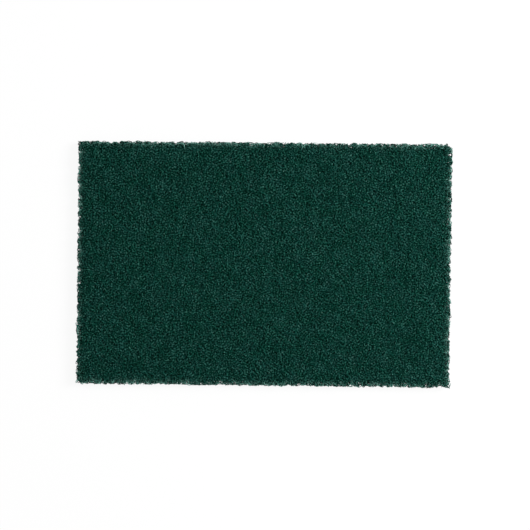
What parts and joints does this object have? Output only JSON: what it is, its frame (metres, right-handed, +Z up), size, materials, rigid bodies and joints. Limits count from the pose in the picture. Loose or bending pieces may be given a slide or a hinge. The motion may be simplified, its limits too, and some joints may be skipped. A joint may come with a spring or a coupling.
{
  "type": "nylon scouring pad",
  "caption": "Flat rectangular hand scouring pad of open, resin-bonded nylon web, with rough pored faces and cut edges fringed with fibre loops.",
  "frame": {"origin": "under the middle of the pad, on the face that it lies on", "axes": "+X along the long side, +Y towards the rear long edge, +Z up through the thickness"},
  "size_m": [0.2317, 0.1513, 0.008],
  "materials": {
    "nylon_web": "matt dark green resin-bonded fibre web"
  },
  "bodies": {
    "root": {"scouring_pad": "nylon_web"}
  },
  "joints": []
}
